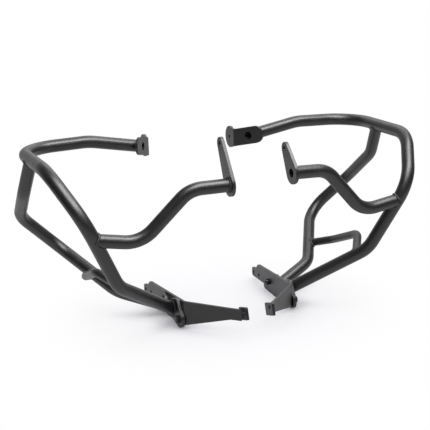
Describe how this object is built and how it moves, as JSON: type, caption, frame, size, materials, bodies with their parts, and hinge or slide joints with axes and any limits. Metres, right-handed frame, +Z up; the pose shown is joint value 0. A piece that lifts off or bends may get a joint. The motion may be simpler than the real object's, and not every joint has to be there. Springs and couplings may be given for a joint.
{
  "type": "motorcycle crash bars",
  "caption": "Welded tube guards for both sides of a motorcycle: bent loops with inner tubes, braces, strap plates and folded lower brackets that bolt to its frame.",
  "frame": {"origin": "under the middle of the pair, level with the lowest edge of the lower brackets", "axes": "+X across the bike to the guard at the right of the picture, +Y to the bike's rear, +Z up as fitted"},
  "size_m": [0.7904, 0.4294, 0.3885],
  "materials": {
    "powder_coat": "satin black powder coat on welded steel",
    "black_fastener": "black zinc on steel bolts"
  },
  "bodies": {
    "root": {"left_loop_tube": "powder_coat", "left_inner_tube": "powder_coat", "left_middle_tube": "powder_coat", "left_brace_tube": "powder_coat", "left_upper_mount": "powder_coat", "left_middle_strap": "powder_coat", "left_lower_bracket": "powder_coat", "left_tip_pad": "powder_coat", "left_loop_lug": "powder_coat", "left_inner_lug": "powder_coat", "left_lug_bolt": "black_fastener", "left_lug_washer": "black_fastener", "left_lug_nut": "black_fastener", "left_inner_screw": "black_fastener", "left_inner_nut": "black_fastener", "left_weld_beads": "powder_coat", "right_loop_tube": "powder_coat", "right_inner_tube": "powder_coat", "right_middle_tube": "powder_coat", "right_brace_tube": "powder_coat", "right_upper_mount": "powder_coat", "right_middle_strap": "powder_coat", "right_lower_bracket": "powder_coat", "right_tip_pad": "powder_coat", "right_loop_lug": "powder_coat", "right_inner_lug": "powder_coat", "right_lug_bolt": "black_fastener", "right_lug_washer": "black_fastener", "right_lug_nut": "black_fastener", "right_inner_screw": "black_fastener", "right_inner_nut": "black_fastener", "right_weld_beads": "powder_coat"}
  },
  "joints": []
}
